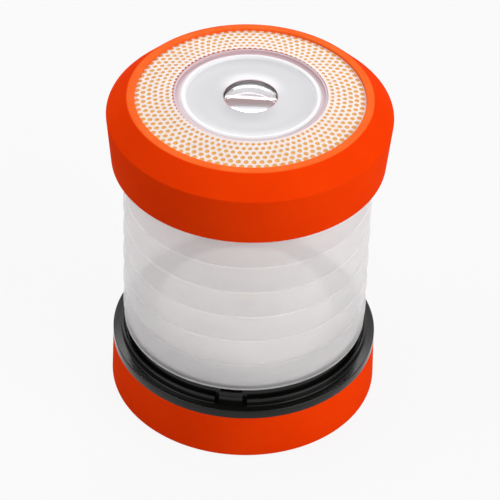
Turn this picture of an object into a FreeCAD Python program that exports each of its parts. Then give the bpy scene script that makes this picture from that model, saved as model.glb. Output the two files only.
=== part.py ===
"""Collapsible camping lantern, standing extended.

Millimetres, +Z up. The origin is on the standing surface, under the lantern's axis.
The front snap finger faces -Y and the power button faces +Y.
"""

import math
import os

import FreeCAD
import Part

V = FreeCAD.Vector
ORIGIN = V(0, 0, 0)
UP = V(0, 0, 1)
VIA = "via"

# Clearances
fit_gap = 0.1            # between pieces that seat in one another
running_gap = 0.15       # between pieces that slide or turn in one another
swing_clearance = 0.3    # round the bail and beside the snap hooks

# Cells and their contacts
cell_diameter = 10.5
cell_length = 44.5
cell_count = 3
cell_gap = 0.6
cell_clearance = 0.3
nub_diameter = 3.8
nub_height = 0.8
contact_gap = 0.05
strip_thickness = 0.4
strip_width = 6.0
strip_height = 8.0
spring_depth = 2.6
tray_wall = 1.5
tray_roof = 1.6

# Battery cover with bayonet lugs
mouth_clearance = 0.5
cover_seat = 1.6
cover_clearance = 0.3
cover_thickness = 2.2
cover_inset = 0.2
ledge_thickness = 1.4
boss_wall = 1.4
lug_count = 3
lug_hook = 1.3
lug_thickness = 1.1
lug_span = 24.0
lug_azimuth = 90.0
notch_margin = 3.0
cover_twist = 45.0
seal_width = 0.9
seal_depth = 0.8
coin_slot_length = 18.0
coin_slot_width = 2.6
coin_slot_depth = 1.2

# Hanging bail and rubber feet under the base
wire_diameter = 2.4
bend_radius = 2.4
pin_length = 2.4
groove_land = 0.9
groove_inset = 0.2
foot_proud = 0.5
pad_recess = 0.7
pad_land = 0.5
pad_width = 2.4
pad_count = 4
pad_span = 40.0
pad_azimuth = 45.0
pad_end_gap = 0.4

# Base shell
edge_land = 1.05
edge_round = 0.8
base_draft = 0.4
wall = 2.0

# Latch ring
deck_thickness = 1.8
flange_drop = 2.0
flange_thickness = 2.95
flange_shelf = 2.65
spigot_wall = 1.6
spigot_depth = 2.6
snap_bead = 0.35
snap_height = 0.9
rim_height = 2.65
rim_wall = 1.0
rim_groove = 0.6
finger_count = 3
finger_azimuth = -90.0
finger_width = 7.3
finger_rise = 2.3
finger_hook = 0.5
hook_height = 0.7
slot_width = 1.5
collar_height = 5.0
collar_wall = 3.6
wire_hole_radius = 4.0

# Bellows and the rings that clamp its hems
stroke = 68.5
landing_gap = 0.05
band_count = 8
band_bulge = 0.75
hem_overhang = 0.25
bellows_wall = 0.8
hem_thickness = 0.8
hem_margin = 0.4
ring_wall = 2.6
ring_flange = 1.4
ring_clearance = 0.65

# Pedestal and light source
pedestal_flange = 1.2
flange_margin = 0.8
pedestal_margin = 1.7
pedestal_taper = 2.8
pedestal_height = 9.0
pedestal_wall = 1.6
board_thickness = 1.2
star_radius = 10.0
emitter_width = 5.0
emitter_height = 0.8
dome_radius = 2.2

# Cap
edge_soft = 0.3
bevel_soft = 0.5
skirt_height = 15.9
skirt_flare = 1.55
cap_collar_rise = 15.65
bevel_height = 6.1
bevel_width = 6.1
lip_width = 2.6
lip_rise = 0.3
bead_drop = 2.1
bead_height = 1.6
roof_thickness = 1.8
retainer_thickness = 1.2
lens_hole = 7.2

# Perforated ring
grille_width = 11.65
grille_rise = 1.55
grille_thickness = 0.6
grille_inset = 0.1
row_count = 6
holes_per_row = 88
columns_per_field = 2
field_offset = 0.25
hole_share = 0.46
edge_margin = 0.75

# Dish and lens
upstand_wall = 0.5
step_drop = 0.6
dish_step = 1.9
bead_width = 1.7
bead_rise = 0.6
bowl_sag = 0.8
bowl_lift = 0.75
lens_radius = 8.2
lens_proud = 0.05
lens_rise = 1.5

# Screws
screw_radius = 0.95
screw_head_radius = 1.9
screw_head_height = 1.2
screw_count = 4
screw_azimuth = 45.0
tray_screw_offset = 14.0
head_recess = 0.9
boss_radius = 2.4
boss_height = 3.5

# Power button and push switch
button_width = 12.0
button_height = 6.0
button_corner = 2.0
button_proud = 1.0
button_flange = 1.2
button_flange_thickness = 1.2
button_travel = 1.2
switch_width = 7.0
switch_depth = 4.0
plunger_radius = 1.5
plunger_hold = 1.8
driver_width = 24.0
chip_length = 5.0
chip_width = 4.0
chip_height = 1.4
round_part_offset = 6.5
round_part_height = 2.2
coil_radius = 2.4
capacitor_radius = 1.8
rail_width = 2.4
rail_lip = 1.2
slot_depth = 1.2

# Heights above the standing surface
z_under = foot_proud
z_cover = z_under + cover_inset
z_ledge = z_cover + cover_thickness
z_floor = z_ledge + ledge_thickness
z_lug = z_floor + running_gap
z_lug_top = z_lug + lug_thickness
z_cells = z_lug_top + cell_clearance
z_cell_axis = z_cells + cell_diameter / 2
z_tray_roof = z_cells + cell_diameter + cell_clearance
z_deck_under = z_tray_roof + tray_roof
z_deck = z_deck_under + deck_thickness
z_flange = z_deck_under - flange_drop
z_flange_top = z_flange + flange_thickness
z_rim = z_flange_top + rim_height
z_finger = z_rim + finger_rise
z_hem = z_deck + collar_height
z_pedestal = z_deck + pedestal_height
z_skirt = z_flange_top + landing_gap + stroke
z_bevel = z_skirt + skirt_height
z_lip = z_bevel + bevel_height
z_lip_inner = z_lip + lip_rise
z_cap_collar = z_skirt + cap_collar_rise
z_grille = z_lip_inner - grille_inset
z_seat = z_grille - grille_thickness - fit_gap
z_roof = z_seat - roof_thickness
z_dish_flange = z_roof - retainer_thickness
z_retainer = z_dish_flange - retainer_thickness
z_groove = z_under + groove_inset + wire_diameter + swing_clearance
z_bail = z_groove - swing_clearance - wire_diameter / 2

# Radii, from the cells outwards
cell_pitch = cell_diameter + cell_gap
bay_length = cell_length + spring_depth + strip_thickness + 2 * contact_gap
bay_width = cell_diameter + (cell_count - 1) * cell_pitch + 2 * cell_clearance
mouth_radius = math.hypot(bay_length / 2, bay_width / 2) + mouth_clearance
boss_outer = mouth_radius - cover_clearance
lug_radius = mouth_radius + lug_hook
cover_radius = mouth_radius + cover_seat
recess_radius = cover_radius + cover_clearance
groove_half = wire_diameter / 2 + swing_clearance
bail_radius = recess_radius + groove_land + groove_half
pin_start = bail_radius + bend_radius
pad_inner = bail_radius + groove_half + bend_radius + pad_land
pad_outer = pad_inner + pad_width
base_radius = pad_outer + edge_land + edge_round
base_top_radius = base_radius - base_draft
shell_inner = base_top_radius - wall
spigot_radius = shell_inner - fit_gap
rim_radius = base_top_radius - flange_shelf
rim_inner = rim_radius - rim_wall
hook_radius = rim_radius + finger_hook
collar_radius = rim_inner - rim_groove
collar_inner = collar_radius - collar_wall
crease_radius = collar_radius + hem_overhang
bellows_inner = crease_radius - bellows_wall
hem_inner = collar_inner + hem_margin
ring_outer = collar_inner - fit_gap
ring_inner = ring_outer - ring_wall
ring_flange_radius = bellows_inner - ring_clearance
plate_radius = ring_outer - flange_margin
pedestal_foot = ring_inner - pedestal_margin
pedestal_top = pedestal_foot - pedestal_taper
skirt_inner = base_radius - wall
cap_radius = base_radius + skirt_flare
cap_inner = cap_radius - wall
lip_radius = cap_radius - bevel_width
pocket_radius = lip_radius - lip_width
grille_outer = pocket_radius - fit_gap
grille_inner = grille_outer - grille_width
dish_radius = grille_inner - fit_gap
bead_outer = dish_radius - dish_step
bowl_radius = bead_outer - bead_width
lens_seat = lens_radius + fit_gap

# Slopes of the drafted and tilted faces
grille_slope = grille_rise / grille_width
skirt_slope = (cap_inner - skirt_inner) / skirt_height
bevel_slope = bevel_height / bevel_width
z_opening = z_seat + grille_slope * (pocket_radius - grille_inner)
z_step = z_opening - step_drop

# Power button, from the rear wall inwards
z_button = (z_floor + z_flange - spigot_depth) / 2
flange_half = button_width / 2 + button_flange
y_button = math.sqrt(shell_inner**2 - flange_half**2) - swing_clearance
y_button_back = y_button - button_flange_thickness
y_switch = y_button_back - button_travel - swing_clearance
y_board = y_switch - switch_depth

# Circle of the cap's screws, midway across the plates that they hold
screw_circle = (dish_radius + plate_radius) / 2


def place(point):
    """A (radius, height) point in the half plane through +X."""
    return V(point[0], 0, point[1])


def rounded(points):
    """The same outline, with an arc at each corner whose third value is a radius."""
    outline = []
    for k, point in enumerate(points):
        if VIA in point or len(point) < 3:
            outline.append(point)
            continue
        corner = place(point)
        back = (place(points[k - 1]) - corner).normalize()
        ahead = (place(points[(k + 1) % len(points)]) - corner).normalize()
        half = back.getAngle(ahead) / 2
        start = corner + back * (point[2] / math.tan(half))
        end = corner + ahead * (point[2] / math.tan(half))
        bend = corner + (back + ahead).normalize() * (point[2] / math.sin(half) - point[2])
        outline += [(start.x, start.z), (bend.x, bend.z, VIA), (end.x, end.z)]
    return outline


def profile(points):
    """Closed face from (radius, height) points; a point marked VIA bends its stretch into an arc."""
    points = rounded(points)
    edges = []
    start = points[0]
    via = None
    for point in points[1:] + points[:1]:
        if VIA in point:
            via = point
            continue
        if via:
            edge = Part.Arc(place(start), place(via), place(point)).toShape()
        else:
            edge = Part.LineSegment(place(start), place(point)).toShape()
        edges.append(edge)
        start = point
        via = None
    return Part.Face(Part.Wire(edges))


def lathe(points, sweep=360.0, middle=0.0):
    """Turned solid; a part turn is centred on the azimuth named middle, in degrees."""
    face = profile(points)
    if sweep < 360.0:
        face.rotate(ORIGIN, UP, middle - sweep / 2)
    return face.revolve(ORIGIN, UP, sweep)


def band(inner, outer, low, high, sweep=360.0, middle=0.0):
    """Ring, or part of one, with a rectangular section."""
    return lathe([(inner, low), (outer, low), (outer, high), (inner, high)], sweep, middle)


def rod(radius, start, end):
    """Round rod from one point to another."""
    axis = end - start
    return Part.makeCylinder(radius, axis.Length, start, axis)


def block(low, high):
    """Box from its low corner to its high corner."""
    size = high - low
    return Part.makeBox(size.x, size.y, size.z, low)


def azimuths(count, first):
    """Evenly spaced directions round the axis, in degrees."""
    return [first + 360.0 * k / count for k in range(count)]


def round_points(count, radius, first):
    """Points of a bolt circle in the plane z = 0."""
    turns = [math.radians(a) for a in azimuths(count, first)]
    return [V(radius * math.cos(t), radius * math.sin(t), 0) for t in turns]


def rounded_bar(width, height, corner, y_back, y_front):
    """Bar along Y with rounded corners, centred on the power button."""
    x, z = width / 2, height / 2
    side = corner * (1 - math.sqrt(0.5))
    corners = []
    for sx, sz in ((1, 1), (-1, 1), (-1, -1), (1, -1)):
        near = V(sx * x, y_back, z_button + sz * (z - corner))
        far = V(sx * (x - corner), y_back, z_button + sz * z)
        bend = V(sx * (x - side), y_back, z_button + sz * (z - side))
        corners.append((near, bend, far) if sx * sz > 0 else (far, bend, near))
    edges = []
    for k, (start, bend, end) in enumerate(corners):
        edges.append(Part.Arc(start, bend, end).toShape())
        edges.append(Part.LineSegment(end, corners[(k + 1) % 4][0]).toShape())
    return Part.Face(Part.Wire(edges)).extrude(V(0, y_front - y_back, 0))


def screw_points():
    """The tray screws stand in the valleys between the cells."""
    return [V(sx * tray_screw_offset, sy * cell_pitch / 2, 0) for sx in (-1, 1) for sy in (-1, 1)]


def screw(foot, z_seat_head, length):
    """Upright screw whose head bears on z_seat_head from below."""
    seat = V(foot.x, foot.y, z_seat_head)
    head = rod(screw_head_radius, seat - V(0, 0, screw_head_height), seat)
    return head.fuse(rod(screw_radius, seat, seat + V(0, 0, length)))


def bail_path(reach):
    """Line of the bail's wire in the plane of its pins: pin, bend, half circle, bend, pin."""
    side = bend_radius * math.sqrt(0.5)
    edges = []
    for turn in (1, -1):
        pin_end = V(turn * (pin_start + reach), 0, z_bail)
        pin_in = V(turn * pin_start, 0, z_bail)
        bend = V(turn * (pin_start - side), side - bend_radius, z_bail)
        ring = V(turn * bail_radius, -bend_radius, z_bail)
        edges.append(Part.LineSegment(pin_end, pin_in).toShape())
        edges.append(Part.Arc(pin_in, bend, ring).toShape())
    right = V(bail_radius, -bend_radius, z_bail)
    front = V(0, -bend_radius - bail_radius, z_bail)
    left = V(-bail_radius, -bend_radius, z_bail)
    edges.append(Part.Arc(right, front, left).toShape())
    return Part.Wire(Part.sortEdges(edges)[0])


def base_shell():
    """Drafted orange tub with the bayonet mouth, bail groove, button hole and board rails."""
    bend = edge_round * (1 - math.sqrt(0.5))
    z_snap = z_flange - spigot_depth
    shell = lathe([
        (recess_radius, z_under),
        (base_radius - edge_round, z_under),
        (base_radius - bend, z_under + bend, VIA),
        (base_radius, z_under + edge_round),
        (base_top_radius, z_flange),
        (shell_inner, z_flange),
        (shell_inner, z_snap + snap_height + fit_gap),
        (shell_inner + snap_bead, z_snap + snap_height / 2),
        (shell_inner, z_snap - fit_gap),
        (shell_inner, z_floor),
        (mouth_radius, z_floor),
        (mouth_radius, z_ledge),
        (recess_radius, z_ledge),
    ])
    y_rail = y_board - board_thickness - fit_gap
    x_slot = driver_width / 2 + fit_gap
    for side in (-1, 1):
        x_in, x_out = sorted((side * (x_slot - slot_depth), side * (x_slot + rail_width)))
        rail = block(V(x_in, y_rail - rail_lip, z_floor), V(x_out, y_board + fit_gap + rail_lip, z_flange))
        slot_in, slot_out = sorted((side * (x_slot - slot_depth), side * x_slot))
        slot = block(V(slot_in, y_rail, z_floor), V(slot_out, y_board + fit_gap, z_flange))
        shell = shell.fuse(rail.cut(slot))
    cuts = [
        band(mouth_radius - lug_hook, lug_radius + running_gap, z_ledge, z_floor,
             lug_span + 2 * notch_margin, a + cover_twist)
        for a in azimuths(lug_count, lug_azimuth)
    ]
    cuts += [
        band(pad_inner - fit_gap, pad_outer + fit_gap, z_under, z_under + pad_recess,
             pad_span + 2 * pad_end_gap, a)
        for a in azimuths(pad_count, pad_azimuth)
    ]
    groove = band(bail_radius - groove_half, bail_radius + groove_half, z_under, z_groove, 180.0, -90.0)
    cuts.append(groove.translated(V(0, -bend_radius, 0)))
    for side in (-1, 1):
        x_in, x_out = sorted((side * (bail_radius - groove_half), side * (pin_start + swing_clearance)))
        cuts.append(block(V(x_in, -bend_radius, z_under), V(x_out, groove_half, z_groove)))
        pin_hole = pin_start + pin_length + swing_clearance
        cuts.append(rod(wire_diameter / 2 + running_gap, V(side * pin_start, 0, z_bail),
                        V(side * pin_hole, 0, z_bail)))
    cuts.append(rounded_bar(button_width + 2 * running_gap, button_height + 2 * running_gap,
                            button_corner + running_gap, y_button, base_radius + button_proud))
    return shell.cut(cuts).removeSplitter()


def latch_ring():
    """Black ring: deck, flange that the cap lands on, rim with snap fingers, collar for the hem."""
    z_snap = z_flange - spigot_depth
    spigot_inner = spigot_radius - spigot_wall
    body = lathe([
        (wire_hole_radius, z_deck_under),
        (spigot_inner, z_deck_under),
        (spigot_inner, z_snap),
        (spigot_radius, z_snap),
        (spigot_radius + snap_bead, z_snap + snap_height / 2),
        (spigot_radius, z_snap + snap_height),
        (spigot_radius, z_flange),
        (base_top_radius, z_flange),
        (base_top_radius, z_flange_top),
        (rim_radius, z_flange_top),
        (rim_radius, z_rim),
        (rim_inner, z_rim),
        (rim_inner, z_deck),
        (collar_radius, z_deck),
        (collar_radius, z_hem),
        (collar_inner, z_hem),
        (collar_inner, z_deck),
        (wire_hole_radius, z_deck),
    ])
    finger_span = math.degrees(finger_width / rim_radius)
    slot_span = math.degrees(slot_width / rim_radius)
    for a in azimuths(finger_count, finger_azimuth):
        window = band(rim_inner, rim_radius, z_flange_top, z_rim, finger_span + 2 * slot_span, a)
        finger = lathe([
            (rim_inner, z_flange_top),
            (rim_radius, z_flange_top),
            (rim_radius, z_finger - 2 * hook_height),
            (hook_radius, z_finger - hook_height),
            (rim_radius - rim_wall / 2, z_finger),
            (rim_inner, z_finger),
        ], finger_span, a)
        body = body.cut(window).fuse(finger)
    for foot in screw_points():
        boss = rod(boss_radius, foot + V(0, 0, z_deck), foot + V(0, 0, z_deck + boss_height))
        pilot = rod(screw_radius + contact_gap, foot + V(0, 0, z_deck_under),
                    foot + V(0, 0, z_deck + boss_height))
        body = body.fuse(boss).cut(pilot)
    return body.removeSplitter()


def bellows():
    """Milky body: rounded bands between thin folds, with an inward hem at each end."""
    pitch = (z_cap_collar - z_hem) / band_count
    outside = [(crease_radius, z_hem)]
    for k in range(band_count):
        outside.append((crease_radius + band_bulge, z_hem + (k + 0.5) * pitch, VIA))
        outside.append((crease_radius, z_hem + (k + 1) * pitch))
    return lathe(outside + [
        (hem_inner, z_cap_collar),
        (hem_inner, z_cap_collar - hem_thickness),
        (bellows_inner, z_cap_collar - hem_thickness),
        (bellows_inner, z_hem + hem_thickness),
        (hem_inner, z_hem + hem_thickness),
        (hem_inner, z_hem),
    ])


def clamp_ring(z_face, z_end):
    """Press-in ring: its flange bears on a hem at z_face and its spigot reaches to z_end."""
    way = 1 if z_face > z_end else -1
    z_back = z_face + way * ring_flange
    return lathe([
        (ring_inner, z_end),
        (ring_outer, z_end),
        (ring_outer, z_face),
        (ring_flange_radius, z_face),
        (ring_flange_radius, z_back),
        (ring_inner, z_back),
    ])


def led_pedestal():
    """White hollow cone that lifts the light source into the bellows."""
    z_seat_board = z_pedestal - board_thickness
    z_inside = z_seat_board - pedestal_wall
    return lathe([
        (wire_hole_radius, z_inside),
        (pedestal_top - pedestal_wall, z_inside),
        (pedestal_foot - pedestal_wall, z_deck),
        (plate_radius, z_deck),
        (plate_radius, z_deck + pedestal_flange),
        (pedestal_foot, z_deck + pedestal_flange),
        (pedestal_top, z_pedestal),
        (star_radius + fit_gap, z_pedestal),
        (star_radius + fit_gap, z_seat_board),
        (wire_hole_radius, z_seat_board),
    ])


def led_board():
    """Six-sided metal-core board."""
    foot = z_pedestal - board_thickness
    corners = [p + V(0, 0, foot) for p in round_points(6, star_radius, 0.0)]
    return Part.Face(Part.makePolygon(corners + corners[:1])).extrude(V(0, 0, board_thickness))


def led_emitter():
    """Square package with a clear dome."""
    half = emitter_width / 2
    top = z_pedestal + emitter_height
    package = block(V(-half, -half, z_pedestal), V(half, half, top))
    dome = Part.makeSphere(dome_radius, V(0, 0, top), UP, 0, 90, 360)
    return package.fuse(dome).removeSplitter()


def battery_tray():
    """White tray that is open below, screwed up against the deck."""
    x, y = bay_length / 2, bay_width / 2
    outer = block(V(-x - tray_wall, -y - tray_wall, z_cells), V(x + tray_wall, y + tray_wall, z_deck_under))
    cuts = [block(V(-x, -y, z_cells), V(x, y, z_tray_roof))]
    for foot in screw_points():
        low = foot + V(0, 0, z_tray_roof)
        cuts.append(rod(screw_head_radius + fit_gap, low, low + V(0, 0, head_recess)))
        cuts.append(rod(screw_radius + contact_gap, low, low + V(0, 0, tray_roof)))
    return outer.cut(cuts)


def tray_screws():
    """Four screws up through the tray's roof into the bosses on the deck."""
    length = tray_roof - head_recess + deck_thickness + boss_height
    seat = z_tray_roof + head_recess
    return Part.makeCompound([screw(p, seat, length - contact_gap) for p in screw_points()])


def cell_sides():
    """Row offset and nub direction of each cell; neighbours lie head to tail."""
    middle = (cell_count - 1) / 2
    return [((k - middle) * cell_pitch, 1 if k % 2 == 0 else -1) for k in range(cell_count)]


def cell(row, way):
    """Dry cell with its raised nub towards way along X."""
    tip = way * (bay_length / 2 - strip_thickness - contact_gap)
    shoulder = tip - way * nub_height
    tail = tip - way * cell_length
    can = rod(cell_diameter / 2, V(tail, row, z_cell_axis), V(shoulder, row, z_cell_axis))
    nub = rod(nub_diameter / 2, V(shoulder, row, z_cell_axis), V(tip, row, z_cell_axis))
    return can.fuse(nub)


def contact_plates():
    """Flat strips against the tray's end walls, one at each nub."""
    plates = []
    for row, way in cell_sides():
        x_in, x_out = sorted((way * (bay_length / 2 - strip_thickness), way * bay_length / 2))
        plates.append(block(V(x_in, row - strip_width / 2, z_cell_axis - strip_height / 2),
                            V(x_out, row + strip_width / 2, z_cell_axis + strip_height / 2)))
    return Part.makeCompound(plates)


def contact_springs():
    """Bowed strips against the tray's end walls, one at each flat end."""
    springs = []
    for row, way in cell_sides():
        wall_x = -way * bay_length / 2
        half = strip_height / 2
        thin = half - 2 * strip_thickness
        face = profile([
            (wall_x, z_cell_axis - half),
            (wall_x + way * spring_depth, z_cell_axis, VIA),
            (wall_x, z_cell_axis + half),
            (wall_x, z_cell_axis + thin),
            (wall_x + way * (spring_depth - strip_thickness), z_cell_axis, VIA),
            (wall_x, z_cell_axis - thin),
        ])
        face.translate(V(0, row - strip_width / 2, 0))
        springs.append(face.extrude(V(0, strip_width, 0)))
    return Part.makeCompound(springs)


def driver_board():
    """Upright board in the rails behind the power button."""
    half = driver_width / 2
    return block(V(-half, y_board - board_thickness, z_floor), V(half, y_board, z_flange))


def driver_parts():
    """Coil, chip and capacitor on the board's inner face."""
    y_face = y_board - board_thickness
    x, z = chip_length / 2, chip_width / 2
    chip = block(V(-x, y_face - chip_height, z_button - z), V(x, y_face, z_button + z))
    rounds = [
        rod(radius, V(side * round_part_offset, y_face, z_button),
            V(side * round_part_offset, y_face - round_part_height, z_button))
        for side, radius in ((-1, coil_radius), (1, capacitor_radius))
    ]
    return Part.makeCompound([chip] + rounds)


def push_switch():
    """Switch body with the bore that its plunger slides in."""
    half = switch_width / 2
    body = block(V(-half, y_board, z_button - half), V(half, y_switch, z_button + half))
    depth = plunger_hold + button_travel + fit_gap
    bore_end = V(0, y_switch - depth, z_button)
    return body.cut(rod(plunger_radius + running_gap, bore_end, V(0, y_switch, z_button)))


def switch_plunger():
    """Plunger between the switch and the button."""
    return rod(plunger_radius, V(0, y_switch - plunger_hold, z_button), V(0, y_button_back, z_button))


def power_button():
    """Button with a curved face, held behind the wall by its flange."""
    face_radius = base_top_radius + button_proud
    bar = rounded_bar(button_width, button_height, button_corner, y_button_back, face_radius)
    bar = bar.common(Part.makeCylinder(face_radius, z_flange, ORIGIN, UP))
    flange = rounded_bar(button_width + 2 * button_flange, button_height + 2 * button_flange,
                         button_corner + button_flange, y_button_back, y_button)
    return bar.fuse(flange).removeSplitter()


def battery_cover():
    """Round twist-off cover with bayonet lugs, a seal groove and a coin slot."""
    z_top = z_ledge - running_gap
    seal_outer = cover_radius - (cover_seat - seal_width) / 2
    seal_inner = seal_outer - seal_width
    cover = lathe([
        (0, z_cover),
        (cover_radius, z_cover),
        (cover_radius, z_top),
        (seal_outer, z_top),
        (seal_outer, z_top - seal_depth),
        (seal_inner, z_top - seal_depth),
        (seal_inner, z_top),
        (boss_outer, z_top),
        (boss_outer, z_lug_top),
        (boss_outer - boss_wall, z_lug_top),
        (boss_outer - boss_wall, z_top),
        (0, z_top),
    ])
    lugs = [
        band(boss_outer - boss_wall, lug_radius, z_lug, z_lug_top, lug_span, a)
        for a in azimuths(lug_count, lug_azimuth)
    ]
    half = V(coin_slot_length / 2, coin_slot_width / 2, 0)
    slot = block(V(0, 0, z_cover) - half, V(0, 0, z_cover + coin_slot_depth) + half)
    return cover.fuse(lugs).cut(slot).removeSplitter()


def cover_seal():
    """Soft ring in the cover's groove, a little proud of it."""
    z_top = z_ledge - running_gap
    seal_outer = cover_radius - (cover_seat - seal_width) / 2
    return band(seal_outer - seal_width, seal_outer, z_top - seal_depth, z_top + running_gap / 2)


def foot_pads():
    """Curved rubber pads, let into the underside."""
    return Part.makeCompound([
        band(pad_inner, pad_outer, 0, z_under + pad_recess, pad_span, a)
        for a in azimuths(pad_count, pad_azimuth)
    ])


def hanging_bail():
    """Wire bail whose ends spring outwards into the base."""
    path = bail_path(pin_length)
    start = path.OrderedVertexes[0].Point
    ring = Part.Circle(start, V(1, 0, 0), wire_diameter / 2).toShape()
    return path.makePipeShell([Part.Wire(ring)], True, False)


def cap_shell():
    """Orange cap: drafted skirt with a snap bead, bevel, lip, tilted seat and hem collar."""
    z_bead = z_skirt + bead_drop
    z_bevel_in = z_bevel - wall * (math.sqrt(1 + bevel_slope**2) - bevel_slope)
    z_collar_top = z_bevel_in + bevel_slope * (cap_inner - collar_radius)
    bead_radius = hook_radius + swing_clearance

    def inside(z):
        return skirt_inner + skirt_slope * (z - z_skirt)

    return lathe([
        (skirt_inner, z_skirt),
        (base_radius, z_skirt, edge_soft),
        (cap_radius, z_bevel, bevel_soft),
        (lip_radius, z_lip, bevel_soft),
        (pocket_radius, z_lip_inner),
        (pocket_radius, z_seat),
        (grille_inner, z_opening),
        (grille_inner, z_roof),
        (collar_inner, z_roof),
        (collar_inner, z_cap_collar),
        (collar_radius, z_cap_collar),
        (collar_radius, z_collar_top),
        (inside(z_bevel_in), z_bevel_in),
        (inside(z_bead + bead_height / 2), z_bead + bead_height / 2),
        (bead_radius, z_bead),
        (inside(z_bead - bead_height / 2), z_bead - bead_height / 2),
    ]).cut(Part.makeCompound(cap_screw_holes(z_roof, screw_radius + contact_gap)))


def cap_screw_holes(z_low, radius):
    """Bores for the cap's screws, upwards from z_low."""
    tops = round_points(screw_count, screw_circle, screw_azimuth)
    return [rod(radius, p + V(0, 0, z_low), p + V(0, 0, z_roof + roof_thickness)) for p in tops]


def grille_ring():
    """Tilted ring of narrow flat fields, pierced by staggered rows of holes.

    The fields meet a quarter of a pitch from the holes of every row, so no hole is cut by an edge.
    """
    fields = holes_per_row // columns_per_field
    pitch = 2 * math.pi / holes_per_row
    half_field = columns_per_field * pitch / 2
    first = grille_inner + edge_margin
    step = (grille_width - 2 * edge_margin) / row_count
    drop = V(0, 0, -grille_thickness)

    def spot(radius, turn):
        height = z_grille + grille_slope * (grille_outer - radius)
        return V(radius * math.cos(turn), radius * math.sin(turn), height)

    def flat(point, middle):
        """The same point dropped on to the flat field whose middle direction is given."""
        reach = (point.x * math.cos(middle) + point.y * math.sin(middle)) / math.cos(half_field)
        return V(point.x, point.y, z_grille + grille_slope * (grille_outer - reach))

    faces = []
    for k in range(fields):
        first_column = columns_per_field * k
        low = (first_column + field_offset) * pitch
        middle = low + half_field
        high = middle + half_field
        outline = [spot(grille_inner, low), spot(grille_outer, low), spot(grille_outer, high),
                   spot(grille_inner, high)]
        holes = []
        for row in range(row_count):
            radius = first + (row + 0.5) * step
            half_turn = hole_share * pitch / 2
            half_side = hole_share * radius * pitch / 2
            for column in range(columns_per_field):
                turn = (first_column + column + (0.5 if row % 2 else 1.0)) * pitch
                corners = [(radius - half_side, turn), (radius, turn + half_turn),
                           (radius + half_side, turn), (radius, turn - half_turn)]
                holes.append([flat(spot(r, t), middle) for r, t in corners])
        wires = [Part.makePolygon(ring + ring[:1]) for ring in [outline] + holes]
        field = Part.Face(wires)
        faces += [field, field.translated(drop)]
        walls = wires[1:] + [Part.makePolygon(outline[:1] + outline[3:]), Part.makePolygon(outline[1:3])]
        faces += [face for wire in walls for face in wire.extrude(drop).Faces]
    shell = Part.makeShell(faces)
    shell.sewShape()
    return Part.makeSolid(shell)


def lens_dish():
    """Pale dish: upstand, recessed step, raised bead and bowl, on a plate that lies under the roof."""
    bead_middle = (bead_outer + bowl_radius) / 2
    bowl_middle = (lens_seat + bowl_radius) / 2
    dish = lathe([
        (lens_seat, z_dish_flange),
        (plate_radius, z_dish_flange),
        (plate_radius, z_roof),
        (dish_radius, z_roof),
        (dish_radius, z_opening),
        (dish_radius - upstand_wall, z_opening),
        (dish_radius - upstand_wall, z_step),
        (bead_outer, z_step),
        (bead_middle, z_step + bead_rise, VIA),
        (bowl_radius, z_step),
        (bowl_middle, z_step - bowl_sag, VIA),
        (lens_seat, z_step + bowl_lift),
    ])
    return dish.cut(Part.makeCompound(cap_screw_holes(z_dish_flange, screw_radius + fit_gap)))


def spot_lens():
    """Clear lens with a flat foot and a domed face."""
    z_edge = z_step + bowl_lift + lens_proud
    sphere = (lens_radius**2 + lens_rise**2) / (2 * lens_rise)
    half = lens_radius / 2
    z_half = z_edge + lens_rise - sphere + math.sqrt(sphere**2 - half**2)
    return lathe([
        (0, z_dish_flange),
        (lens_radius, z_dish_flange),
        (lens_radius, z_edge),
        (half, z_half, VIA),
        (0, z_edge + lens_rise),
    ])


def lens_retainer():
    """White plate that holds the dish and the lens up against the roof."""
    plate = band(lens_hole, plate_radius, z_retainer, z_dish_flange)
    return plate.cut(Part.makeCompound(cap_screw_holes(z_retainer, screw_radius + fit_gap)))


def cap_screws():
    """Four screws up through the plate and the dish into the cap's roof."""
    length = z_roof + roof_thickness - z_retainer - contact_gap
    feet = round_points(screw_count, screw_circle, screw_azimuth)
    return Part.makeCompound([screw(p, z_retainer, length) for p in feet])


def solids():
    """Every piece under its node name."""
    named = {
        "base_shell": base_shell(),
        "latch_ring": latch_ring(),
        "bellows": bellows(),
        "bellows_lower_ring": clamp_ring(z_hem + hem_thickness, z_deck + pedestal_flange),
        "bellows_upper_ring": clamp_ring(z_cap_collar - hem_thickness, z_retainer),
        "led_pedestal": led_pedestal(),
        "led_board": led_board(),
        "led_emitter": led_emitter(),
        "battery_tray": battery_tray(),
        "tray_screws": tray_screws(),
        "contact_plates": contact_plates(),
        "contact_springs": contact_springs(),
        "driver_board": driver_board(),
        "driver_parts": driver_parts(),
        "push_switch": push_switch(),
        "switch_plunger": switch_plunger(),
        "power_button": power_button(),
        "battery_cover": battery_cover(),
        "cover_seal": cover_seal(),
        "foot_pads": foot_pads(),
        "hanging_bail": hanging_bail(),
        "cap_shell": cap_shell(),
        "grille_ring": grille_ring(),
        "lens_dish": lens_dish(),
        "spot_lens": spot_lens(),
        "lens_retainer": lens_retainer(),
        "cap_screws": cap_screws(),
    }
    for k, (row, way) in enumerate(cell_sides()):
        named[f"cell_{k + 1}"] = cell(row, way)
    return named


os.makedirs("parts", exist_ok=True)
for name, shape in solids().items():
    shape.exportStep(f"parts/{name}.step")
    print(name, len(shape.Solids), shape.isValid(), round(shape.Volume, 1))
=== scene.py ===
"""Collapsible camping lantern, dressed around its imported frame.

Sizes are written in millimetres and become metres where a mesh is made. Heights and radii come from
the frame wherever a node's box gives them. The front snap finger faces -Y and the button faces +Y.
"""

import math

import bmesh
import bpy
from mathutils import Matrix, Vector

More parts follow.
